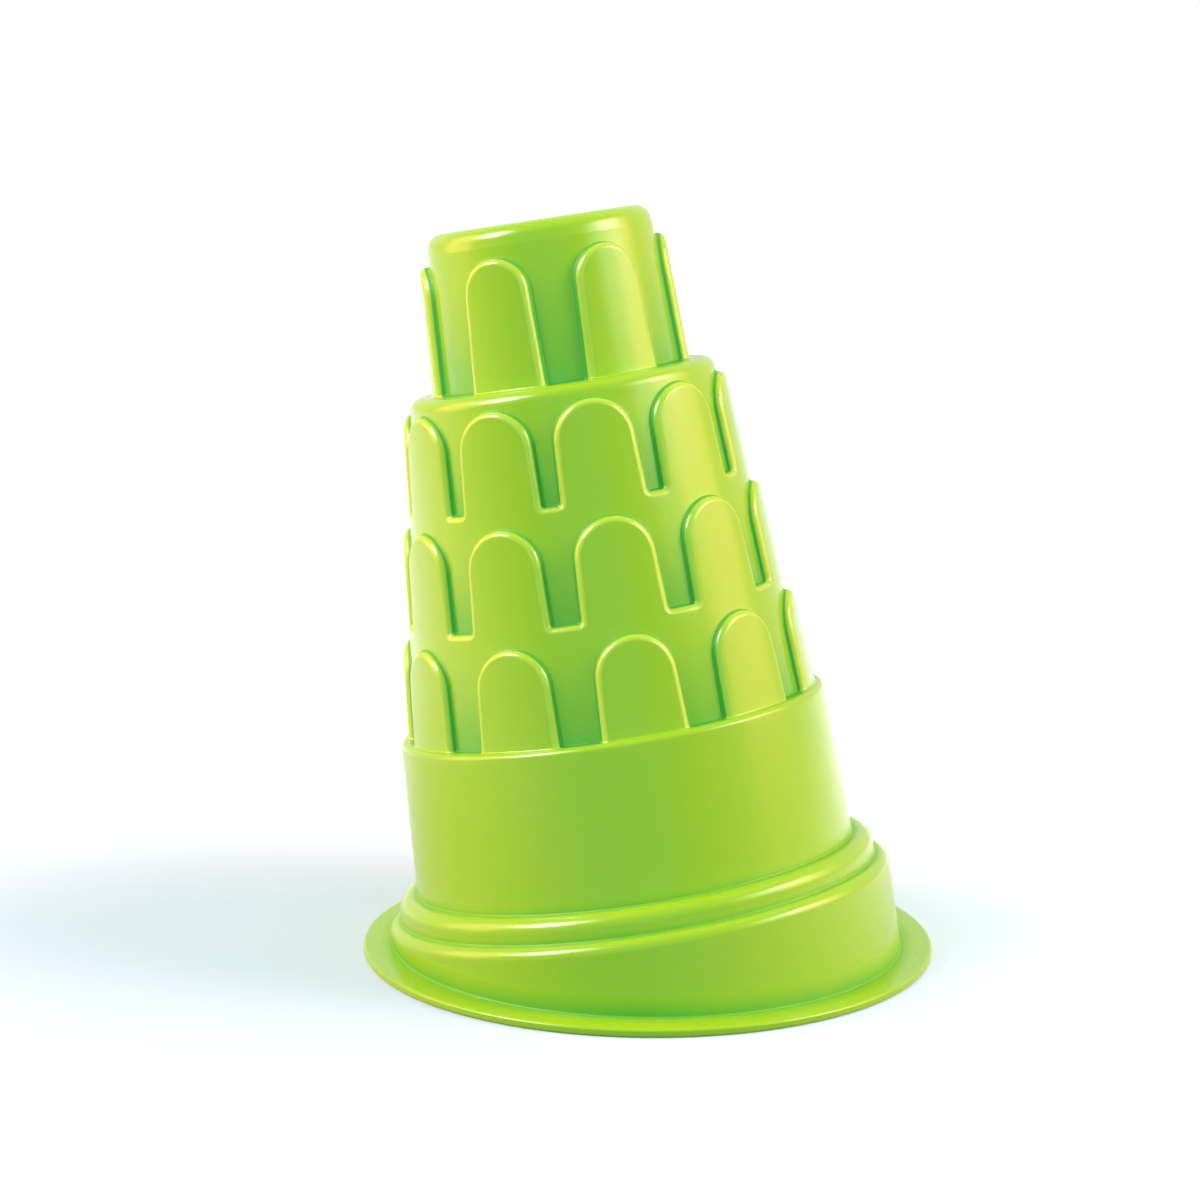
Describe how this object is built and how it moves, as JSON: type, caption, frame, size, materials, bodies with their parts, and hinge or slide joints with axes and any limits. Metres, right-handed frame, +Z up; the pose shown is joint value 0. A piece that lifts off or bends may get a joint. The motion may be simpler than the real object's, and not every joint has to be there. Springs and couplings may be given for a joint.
{
  "type": "sand mould",
  "caption": "Thin plastic sand mould in the form of a leaning round tower with arcades, open below through a wide flat flange.",
  "frame": {"origin": "centre of the flange, on its underside, which rests on the sand", "axes": "+Z up from the flange; the tower leans towards -X and the part is mirror symmetric about the XZ plane"},
  "size_m": [0.1314, 0.1314, 0.1708],
  "materials": {
    "lime_plastic": "lime green injection-moulded polypropylene, smooth satin gloss, a little translucent, rounded edges"
  },
  "bodies": {
    "root": {"rim_flange": "lime_plastic", "lower_plinth": "lime_plastic", "upper_plinth": "lime_plastic", "base_drum": "lime_plastic", "lower_arcade": "lime_plastic", "middle_arcade": "lime_plastic", "upper_arcade": "lime_plastic", "bell_chamber": "lime_plastic", "crown_cap": "lime_plastic"}
  },
  "joints": []
}
